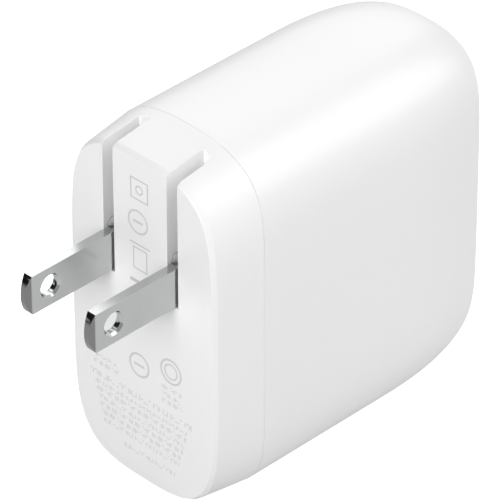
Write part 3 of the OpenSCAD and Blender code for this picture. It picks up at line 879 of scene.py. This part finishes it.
class CHARGER_OT_main_housing(bpy.types.Operator):
    """Rear housing with its soft port end, board rails and port openings"""

    bl_idname = "charger.main_housing"
    bl_label = "Main Housing"

    def execute(self, context):
        shell, port = settings("shell"), settings("port")
        materials = shell_materials()
        start, end = shell.cap_depth, shell.depth
        straight_end = end - shell.end_length
        straight = [
            body_ring(start + shell.seam + (straight_end - start - shell.seam) * k / 9, 0, shell)
            for k in range(1, 9)
        ]
        rings = seam_rings(start, 1, shell) + straight + end_rings(0, end, 32, shell)
        housing = paint(loft("main_housing_body", rings, shell, 240), materials)

        wall, back = shell.wall, end - shell.wall
        inner = [body_ring(start - MM, wall, shell)] + end_rings(wall, back, 12, shell)
        hollow = loft("housing_hollow", inner, shell, 120)
        board_low, board_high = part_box("main_board")
        for way, edge in ((-1, board_low[2]), (1, board_high[2])):
            z = sorted((edge - way * shell.rail_lap, edge + way * shell.rail_back))
            rail = add_box(
                "rail", (-shell.width / 2, board_low[1] + MM, z[0]),
                (board_high[0] + MM, board_high[1] - shell.rail_short, z[1]),
            )
            slack = Vector((shell.rail_gap,) * 3)
            groove = add_box("groove", Vector(board_low) - slack, Vector(board_high) + slack)
            cut(rail, groove)
            cut(hollow, rail)
        cut(housing, paint(hollow, materials, 1))
        recess_in = wall - shell.lip_wall - shell.lip_gap
        recess = [
            body_ring(y, recess_in, shell) for y in (start - MM, start + shell.lip + shell.lip_gap)
        ]
        cut(housing, paint(loft("housing_recess", recess, shell, 120), materials, 1))
        for z in (port.upper, port.lower):
            opening = oval_bar(
                "port_opening", port.thick + 2 * port.gap, port.width + 2 * port.gap,
                back - MM, end + MM, z,
            )
            cut(housing, paint(opening, materials, 1))
        round_mouths(housing, port.mouth, lambda a, b: min(a.y, b.y) > end - 0.1 * MM, 4)
        smooth(housing)
        stand_in_for(housing, BODY, "white_shell", "main_housing")
        return {"FINISHED"}


def blade_material():
    """Polished plate with a painted dark reflection on its tips."""
    colours, plug = settings("colours"), settings("plug")
    material = drawn_metal(
        "Polished Nickel", colours.blade, 0.2, (4000, 250, 9000), depth=4e-7, variation=0.06,
        edge=(0.8, 0.8, 0.8),
    )
    tree = material.node_tree
    shader = tree.nodes["Principled BSDF"]
    plain = shader.inputs["Base Color"].links[0].from_socket
    place = tree.nodes.new("ShaderNodeTexCoord").outputs["Object"]
    split = tree.nodes.new("ShaderNodeSeparateXYZ")
    tree.links.new(place, split.inputs[0])
    start = plug.tip_length - plug.reach
    # Painted dark reflection: past the thinning line the plate's colour blends into the tip
    # colour.
    share = map_range(
        tree, split.outputs["Y"], From_Min=start + plug.tip_reflection_fade, From_Max=start - plug.tip_reflection_fade
    )
    tint = mix_colour(tree, share, plain, colours.tip)
    tree.links.new(tint, shader.inputs["Base Color"])
    return material


class CHARGER_OT_blades(bpy.types.Operator):
    """Two flat blades with bevelled holes and thinned, rounded tips"""

    bl_idname = "charger.blades"
    bl_label = "Blades"

    def execute(self, context):
        plug = settings("plug")
        x, half = plug.pitch / 2, plug.blade_thick / 2
        rise = plug.blade_width / 2
        blade = add_box("blade_right_plate", (x - half, -plug.reach, -rise),
                        (x + half, plug.pivot, rise))
        root = (x - half, plug.pivot, 0), (x + half, plug.pivot, 0)
        fuse(blade, add_rod("root", rise, *root, 96))
        tip = plug.tip_radius - plug.reach
        keep = add_rod("tip", plug.tip_radius, (x - MM, tip, 0), (x + MM, tip, 0), 160)
        back = plug.pivot + 2 * rise
        fuse(keep, add_box("rest", (x - MM, tip, -2 * rise), (x + MM, back, 2 * rise)))
        combine(blade, keep, "INTERSECT")
        thin_from = plug.tip_length - plug.reach
        edit(blade, action="SELECT")
        bpy.ops.mesh.bisect(plane_co=(0, thin_from, 0), plane_no=(0, 1, 0))
        close(blade)
        for vertex in blade.data.vertices:
            run = max(0.0, thin_from - vertex.co.y)
            vertex.co.x = x + (vertex.co.x - x) * (1 - plug.tip_in / half * run / plug.tip_length)
        y = -plug.hole_reach
        cut(blade, add_rod("hole", plug.hole / 2, (x - MM, y, 0), (x + MM, y, 0), 96))
        for way in (-1, 1):
            bevel = plug.hole_bevel
            clear_selection()
            bpy.ops.mesh.primitive_cone_add(
                vertices=96, radius1=plug.hole / 2 + 2 * bevel, radius2=plug.hole / 2,
                depth=2 * bevel, location=(x + way * half, y, 0),
                rotation=(0, -way * math.pi / 2, 0),
            )
            cut(blade, settle("hole_bevel"))
        cut(blade, add_rod("key_hole", plug.key_radius, (x - MM, plug.pivot, 0),
                           (x + MM, plug.pivot, 0), 64))
        round_edges(blade, plug.blade_edge, 3)
        smooth(blade)
        paint(blade, [blade_material()])
        twin = copy_piece(blade, "blade_left_plate", (-plug.pitch, 0, 0))
        stand_in_for(blade, PLUG, "blade_metal", "blade_right")
        stand_in_for(twin, PLUG, "blade_metal", "blade_left")
        return {"FINISHED"}


class CHARGER_OT_blade_carrier(bpy.types.Operator):
    """Moulded bar that holds both blades and turns on its two journals"""

    bl_idname = "charger.blade_carrier"
    bl_label = "Blade Carrier"

    def execute(self, context):
        plug = settings("plug")
        half, y = plug.carrier_length / 2, plug.pivot
        bar = add_rod("blade_carrier_bar", plug.carrier_radius, (-half, y, 0), (half, y, 0), 96)
        edit(bar)
        pick(bar, "faces", lambda face: abs(face.normal.x) > 0.9)
        bpy.ops.mesh.inset(thickness=plug.carrier_radius - plug.journal_radius)
        close(bar)
        for way in (-1, 1):
            edit(bar)
            pick(bar, "faces", lambda face: face.normal.x * way > 0.9 and len(face.verts) > 4)
            extrude(way * plug.journal_length, 0, 0)
            close(bar)
        rise, thick = plug.blade_width / 2, plug.blade_thick / 2
        inner = thick + plug.slot_gap + plug.cheek_gap
        outer = inner + plug.cheek_width
        front = y - plug.carrier_radius + 0.01 * MM
        for side in (-1, 1):
            for way in (-1, 1):
                ends = sorted(side * plug.pitch / 2 + way * edge for edge in (inner, outer))
                cheek = add_box("cheek", (ends[0], front, 0), (ends[1], y, plug.cheek_rise))
                round_corners(
                    cheek, plug.cheek_round, 8,
                    lambda a, b: max(a.y, b.y) < front + TINY
                    and min(a.z, b.z) > plug.cheek_rise - TINY,
                )
                fuse(bar, cheek)
        for side in (-1, 1):
            x = side * plug.pitch / 2
            low, high = (x - thick, y - 2 * rise, -rise), (x + thick, y + 2 * rise, rise)
            seat = add_box("seat", low, high)
            cut(seat, add_rod("key", plug.key_radius, (x - MM, y, 0), (x + MM, y, 0)))
            cut(bar, seat)
        flat = plug.pitch / 2 - outer - plug.flat_gap
        radius, deep = plug.carrier_radius, plug.carrier_radius - plug.flat_depth
        cut(
            bar,
            add_box("flat", (-flat, y + deep, -radius), (flat, y + radius + MM, radius)),
            add_box("flat", (-flat, y - radius, deep), (flat, y + radius, radius + MM)),
        )
        round_edges(bar, plug.carrier_edge, 2, 50)
        smooth(bar)
        # White plastic, made lighter than the shell as painted light that lifts the shade on the
        # cheeks beside the blades.
        paint(bar, [moulded("Carrier Plastic", (0.93, 0.93, 0.92), 0.45, grain=6000)])
        stand_in_for(bar, PLUG, "carrier_plastic", "blade_carrier")
        return {"FINISHED"}


class CHARGER_OT_ports(bpy.types.Operator):
    """Steel shells and insulating cores of the two USB-C ports"""

    bl_idname = "charger.ports"
    bl_label = "USB-C Ports"

    def execute(self, context):
        port = settings("port")
        steel = drawn_metal(
            "Drawn Steel", (0.62, 0.62, 0.61), 0.25, (8000, 250, 8000), edge=(0.8, 0.8, 0.8)
        )
        black = moulded("Black Insulator", (0.035, 0.035, 0.037), 0.42, edge=(0.09, 0.09, 0.09))
        back, mouth = SHELL_LOW[1], SHELL_HIGH[1]
        inner_t, inner_w = port.thick - 2 * port.sheet, port.width - 2 * port.sheet
        for name, z in (("upper", port.upper), ("lower", port.lower)):
            tube = oval_bar(f"port_{name}_tube", port.thick, port.width, back, mouth, z)
            cut(tube, oval_bar("bore", inner_t, inner_w, back - MM, mouth + MM, z))
            round_edges(tube, port.shell_edge, 3)
            paint(smooth(tube), [steel])
            stand_in_for(tube, BODY, "port_steel", f"port_shell_{name}")

            block_end = back + port.block
            core = oval_bar(f"port_{name}_insulator", inner_t, inner_w, back, block_end, z)
            thick, wide = port.tongue_thick / 2, port.tongue_width / 2
            tongue_end = block_end + port.tongue_length
            tongue = add_box("tongue", (-thick, back, z - wide), (thick, tongue_end, z + wide))
            round_corners(
                tongue, port.tongue_round, 6,
                lambda a, b: min(a.y, b.y) > block_end and abs(a.x - b.x) > thick,
            )
            fuse(core, tongue)
            round_edges(core, port.core_edge, 2)
            paint(smooth(core), [black])
            stand_in_for(core, BODY, "port_insulator", f"port_core_{name}")
        return {"FINISHED"}


# ---------------------------------------------------------------------------------------------
# Printed marks, all of them generic signs


INK = 0.012 * MM


def ink_bar(start, end, width):
    """A flat printed stroke on the wall face between two points, each (x, z) in millimetres."""
    a, b = Vector(start) * MM, Vector(end) * MM
    run = b - a
    clear_selection()
    bpy.ops.mesh.primitive_cube_add(
        size=1, location=((a.x + b.x) / 2, -INK / 2, (a.y + b.y) / 2),
        scale=(run.length + width * MM, INK, width * MM),
        rotation=(0, -math.atan2(run.y, run.x), 0),
    )
    return settle("stroke")


def ink_ring(middle, radius, width, sides=48):
    """A flat printed ring: a disc inset by the ring's width, its middle taken out."""
    ring = add_disc("ring", radius * MM, sides, (middle[0] * MM, 0, middle[1] * MM))
    edit(ring, action="SELECT")
    bpy.ops.mesh.inset(thickness=width * MM)
    bpy.ops.mesh.delete(type="FACE")
    bpy.ops.mesh.select_all(action="SELECT")
    extrude(0, -INK, 0)
    close(ring)
    return turn_outwards(ring)


def ink_frame(low, high, width):
    """A flat printed rectangle of four strokes that meet at its corners."""
    (x0, z0), (x1, z1) = low, high
    level = [ink_bar((x0, z), (x1, z), width) for z in (z0, z1)]
    upright = [ink_bar((x, z0 + width), (x, z1 - width), width) for x in (x0, x1)]
    return level + upright


def ink_row(x0, x1, z, height, seed):
    """A row of short ticks and dashes, in groups, that stands for a line of fine print."""
    marks, x, k = [], x0, seed
    while x < x1:
        for _ in range(3 + k % 4):
            k = (k * 8 + 5) % 37
            if x > x1:
                break
            if k % 5 < 3:
                rise = height * (0.3 + 0.06 * (k % 3))
                marks.append(ink_bar((x, z - rise), (x, z + rise), 0.16 * height))
                x += 0.34 * height
            else:
                level = z + height * (k % 3 - 1) / 2.6
                marks.append(ink_bar((x, level), (x + 0.26 * height, level), 0.17 * height))
                x += 0.52 * height
        x += 0.4 * height
    return marks


class CHARGER_OT_face_marks(bpy.types.Operator):
    """Pale grey generic signs and rows of dashes printed on the wall face"""

    bl_idname = "charger.face_marks"
    bl_label = "Face Marks"

    def execute(self, context):
        colours = settings("colours")
        ink = moulded("Grey Ink", colours.ink, 0.5, grain=12000, depth=5e-7)
        faint = moulded("Fine Grey Ink", colours.fine_ink, 0.5, grain=12000, depth=5e-7)
        signs = ink_frame((-1.75, 11.15), (1.55, 14.45), 0.2)
        signs.append(ink_ring((-0.1, 12.8), 0.75, 0.2))
        signs += ink_frame((-1.4, -0.6), (1.2, 2.9), 0.18)
        signs.append(ink_bar((-2.0, 3.6), (1.8, 3.6), 0.2))
        signs.append(ink_bar((-1.9, -2.8), (1.8, -2.8), 0.55))
        paint(join("upper_signs", signs), [ink])
        rounds = [
            ink_ring((-0.45, 7.35), 2.0, 0.3, 64),
            ink_bar((-1.2, 7.35), (0.3, 7.35), 0.4),
            ink_ring((-0.65, -17.2), 2.05, 0.34, 64),
            ink_bar((-1.5, -17.2), (0.2, -17.2), 0.4),
            ink_ring((5.75, -15.1), 2.15, 0.34, 64),
            ink_ring((5.75, -15.1), 1.35, 0.26),
        ]
        paint(join("lower_signs", rounds), [faint])
        rows = ink_row(-9.9, -5.4, -19.6, 0.75, 1) + ink_row(-9.9, -4.6, -20.9, 0.75, 4)
        for k in range(3):
            rows += ink_row(3.9, 7.9, -18.3 - 1.2 * k, 0.75, k + 2)
        rows += ink_row(-10.7, 9.7, -22.9, 1.0, 3)
        for k in range(6):
            reach = 9.8 - 0.35 * k
            rows += ink_row(-reach, reach - 0.8, -24.3 - 1.25 * k, 0.8, k + 1)
        rows += ink_row(-3.9, 6.5, -32.8, 0.8, 6)
        paint(join("fine_print", rows), [faint])
        for name in ("upper_signs", "lower_signs", "fine_print"):
            piece = bpy.data.objects[name]
            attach(piece, BODY)
        return {"FINISHED"}


# ---------------------------------------------------------------------------------------------
# Inner parts


INNER_FINISHES = {
    "plug_retainer": ("plastic", (0.72, 0.72, 0.71), 0.5),
    "detent_spring": ("metal", (0.5, 0.5, 0.5), 0.28),
    "contact_spring_left": ("metal", (0.72, 0.5, 0.27), 0.27),
    "contact_spring_right": ("metal", (0.72, 0.5, 0.27), 0.27),
    "main_board": ("laminate", (0.02, 0.13, 0.05), 0.35),
    "port_board": ("laminate", (0.02, 0.13, 0.05), 0.35),
    "board_link": ("plastic", (0.03, 0.03, 0.03), 0.45),
    "port_contacts_upper": ("metal", (0.86, 0.62, 0.25), 0.2),
    "port_contacts_lower": ("metal", (0.86, 0.62, 0.25), 0.2),
    "transformer_core": ("ferrite", (0.05, 0.05, 0.055), 0.6),
    "transformer_bobbin": ("plastic", (0.05, 0.035, 0.03), 0.5),
    "transformer_winding": ("tape", (0.78, 0.55, 0.08), 0.4),
    "main_capacitor_front": ("sleeve", (0.015, 0.03, 0.035), 0.3),
    "main_capacitor_rear": ("sleeve", (0.015, 0.03, 0.035), 0.3),
    "choke_core": ("ferrite", (0.05, 0.05, 0.055), 0.6),
    "choke_winding": ("wire", (0.55, 0.2, 0.08), 0.3),
    "mains_capacitor": ("plastic", (0.7, 0.5, 0.06), 0.4),
    "safety_capacitor": ("plastic", (0.05, 0.14, 0.42), 0.3),
    "fuse": ("plastic", (0.24, 0.12, 0.06), 0.35),
    "bridge_rectifier": ("plastic", (0.02, 0.02, 0.02), 0.55),
    "power_switch": ("plastic", (0.02, 0.02, 0.02), 0.55),
    "port_controller": ("plastic", (0.02, 0.02, 0.02), 0.55),
    "output_capacitors": ("metal", (0.78, 0.78, 0.79), 0.3),
    "heat_spreader": ("metal", (0.76, 0.77, 0.78), 0.35),
    "insulating_sheet": ("plastic", (0.7, 0.62, 0.3), 0.4),
}


def banded(name, base, roughness, direction, spacing, depth, contrast, metallic):
    """A finish with even bands along one axis, such as tape turns, wire or woven cloth."""
    material, tree, shader, place = new_material(name, base, roughness, metallic)
    wave = tree.nodes.new("ShaderNodeTexWave")
    wave.bands_direction = direction
    wave.inputs["Scale"].default_value = 1 / spacing / 3.2
    wave.inputs["Distortion"].default_value = 0.6
    wave.inputs["Detail"].default_value = 1
    tree.links.new(place, wave.inputs["Vector"])
    dark = tuple(c * contrast for c in base)
    tint = mix_colour(tree, wave.outputs["Fac"], dark, base)
    tree.links.new(tint, shader.inputs["Base Color"])
    add_bump(tree, shader, wave.outputs["Fac"], depth)
    return material


# Direction, spacing, depth, darkness of the gaps and metallic share of each banded finish
BANDS = {
    "laminate": ("Y", 0.4 * MM, 4e-6, 0.8, 0.0),
    "tape": ("X", 1.5 * MM, 1e-5, 0.85, 0.0),
    "wire": ("Z", 0.6 * MM, 8e-5, 0.55, 0.7),
}


def inner_material(kind, base, roughness):
    label = f"{kind.title()} {round(sum(base) * 1000)}"
    if label in bpy.data.materials:
        return bpy.data.materials[label]
    if kind == "metal":
        return drawn_metal(label, base, roughness, (7000, 400, 7000), edge=(0.85, 0.85, 0.84))
    if kind in BANDS:
        return banded(label, base, roughness, *BANDS[kind])
    if kind == "ferrite":
        return moulded(label, base, roughness, grain=4000, depth=1e-5, edge=(0.16, 0.16, 0.17))
    if kind == "sleeve":
        return moulded(label, base, roughness, grain=1500, depth=4e-6, edge=(0.05, 0.08, 0.09))
    return moulded(label, base, roughness, edge=tuple(min(1, c * 1.5 + 0.03) for c in base))


class CHARGER_OT_inner_parts(bpy.types.Operator):
    """Finishes of the boards, components, springs and contacts inside the shells"""

    bl_idname = "charger.inner_parts"
    bl_label = "Inner Parts"

    def execute(self, context):
        for node, finish in INNER_FINISHES.items():
            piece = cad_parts[node]
            material = inner_material(*finish)
            if not piece.data.materials:
                piece.data.materials.append(material)
            for k in range(len(piece.material_slots)):
                piece.material_slots[k].material = material
        return {"FINISHED"}


# ---------------------------------------------------------------------------------------------
# Studio


def add_panel(name, power, size, place, target):
    """A soft square light that faces a point."""
    clear_selection()
    bpy.ops.object.light_add(type="AREA", location=place)
    panel = bpy.context.object
    panel.name = name
    panel.data.energy = power
    panel.data.shape = "SQUARE"
    panel.data.size = size
    panel.rotation_euler = (Vector(target) - Vector(place)).to_track_quat("-Z", "Y").to_euler()


class CHARGER_OT_studio(bpy.types.Operator):
    """Plain pale floor, soft panels, even sky and the camera"""

    bl_idname = "charger.studio"
    bl_label = "Studio"

    def execute(self, context):
        studio, colours = settings("studio"), settings("colours")
        low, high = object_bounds()
        middle = (low + high) / 2
        clear_selection()
        bpy.ops.mesh.primitive_plane_add(size=8, location=(0, 0, low.z))
        floor = settle("studio_floor")
        material, tree, shader, place = new_material("Pale Floor", colours.floor, 0.9)
        surface = place_group(tree, "grain", Vector=place, Grain_Scale=300, Roughness=0.9)
        tree.links.new(surface.outputs["Roughness"], shader.inputs["Roughness"])
        shader.inputs["Specular IOR Level"].default_value = 0.0
        shader.inputs["Emission Color"].default_value = (1, 1, 1, 1)
        rays = tree.nodes.new("ShaderNodeLightPath").outputs
        seen = maths(tree, "MULTIPLY", rays["Is Camera Ray"], studio.floor_glow)
        mirrored = maths(tree, "MULTIPLY", rays["Is Glossy Ray"], studio.floor_mirrored)
        glow = maths(tree, "ADD", seen, mirrored)
        tree.links.new(glow, shader.inputs["Emission Strength"])
        floor.data.materials.append(material)
        floor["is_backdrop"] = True

        world = bpy.data.worlds.new("Studio Sky")
        world.use_nodes = True
        sky = world.node_tree
        back = sky.nodes["Background"]
        back.inputs["Color"].default_value = (1, 1, 1, 1)
        towards = sky.nodes.new("ShaderNodeTexCoord").outputs["Generated"]
        corner = Vector((-1, -1, 0.4)).normalized()
        dimmed = map_range(
            sky, vector_maths(sky, "DOT_PRODUCT", towards, corner, "Value"),
            From_Min=0.6, From_Max=0.85, To_Min=studio.sky, To_Max=studio.dim_sky,
        )
        sky.links.new(dimmed, back.inputs["Strength"])
        context.scene.world = world

        for name, power, size, offset in (
            ("top_panel", studio.top_light, 0.5, (0.0, 0.1, 0.6)),
            ("left_panel", studio.left_light, 0.6, (-0.46, 0.4, 0.36)),
            ("right_panel", studio.right_light, 0.75, (0.41, 0.45, 0.43)),
            ("front_panel", studio.front_light, 0.4, (0.17, -0.6, 0.3)),
        ):
            add_panel(name, power, size, middle + Vector(offset), middle)

        a, e, r = studio.azimuth, studio.elevation, studio.roll
        out = Vector((math.sin(a) * math.cos(e), -math.cos(a) * math.cos(e), math.sin(e)))
        level = Vector((math.cos(a), math.sin(a), 0))
        rise = out.cross(level)
        right = math.cos(r) * level + math.sin(r) * rise
        up = math.cos(r) * rise - math.sin(r) * level
        place = out * studio.distance + right * studio.aim[0] + up * studio.aim[1]
        clear_selection()
        bpy.ops.object.camera_add(location=place)
        camera = bpy.context.object
        turn = Matrix((right, up, out)).transposed().to_quaternion()
        camera.rotation_euler = turn.to_euler()
        camera.data.lens = studio.lens
        camera.data.clip_start = 0.01
        camera.data.clip_end = 50
        context.scene.camera = camera
        context.scene.view_settings.view_transform = "Standard"
        return {"FINISHED"}


class CHARGER_PT_sidebar(bpy.types.Panel):
    """Lists the charger's sizes and the pieces that can be built"""

    bl_label = "Wall Charger"
    bl_idname = "CHARGER_PT_sidebar"
    bl_space_type = "VIEW_3D"
    bl_region_type = "UI"
    bl_category = "Charger"

    def draw(self, context):
        for title in SETTINGS:
            group = settings(title)
            box = self.layout.box()
            box.label(text=title.title())
            for key in type(group).__annotations__:
                box.prop(group, key)
        column = self.layout.column(align=True)
        for operator in OPERATORS:
            column.operator(operator.bl_idname)


SETTINGS = {
    "shell": ChargerShellSizes,
    "plug": ChargerPlugSizes,
    "port": ChargerPortSizes,
    "colours": ChargerColours,
    "studio": ChargerStudio,
}
OPERATORS = (
    CHARGER_OT_plug_cap,
    CHARGER_OT_main_housing,
    CHARGER_OT_blades,
    CHARGER_OT_blade_carrier,
    CHARGER_OT_ports,
    CHARGER_OT_face_marks,
    CHARGER_OT_inner_parts,
    CHARGER_OT_studio,
)
CLASSES = (*SETTINGS.values(), *OPERATORS, CHARGER_PT_sidebar)


def register():
    for cls in CLASSES:
        bpy.utils.register_class(cls)
    for title, group in SETTINGS.items():
        pointer = bpy.props.PointerProperty(type=group)
        setattr(bpy.types.Scene, "charger_" + title, pointer)


def unregister():
    for title in SETTINGS:
        delattr(bpy.types.Scene, "charger_" + title)
    for cls in reversed(CLASSES):
        bpy.utils.unregister_class(cls)


def main():
    register()
    for operator in OPERATORS:
        category, name = operator.bl_idname.split(".")
        result = getattr(getattr(bpy.ops, category), name)()
        if result != {"FINISHED"}:
            raise RuntimeError(f"{operator.bl_label} was not built")
    clear_selection()


if __name__ == "__main__":
    main()
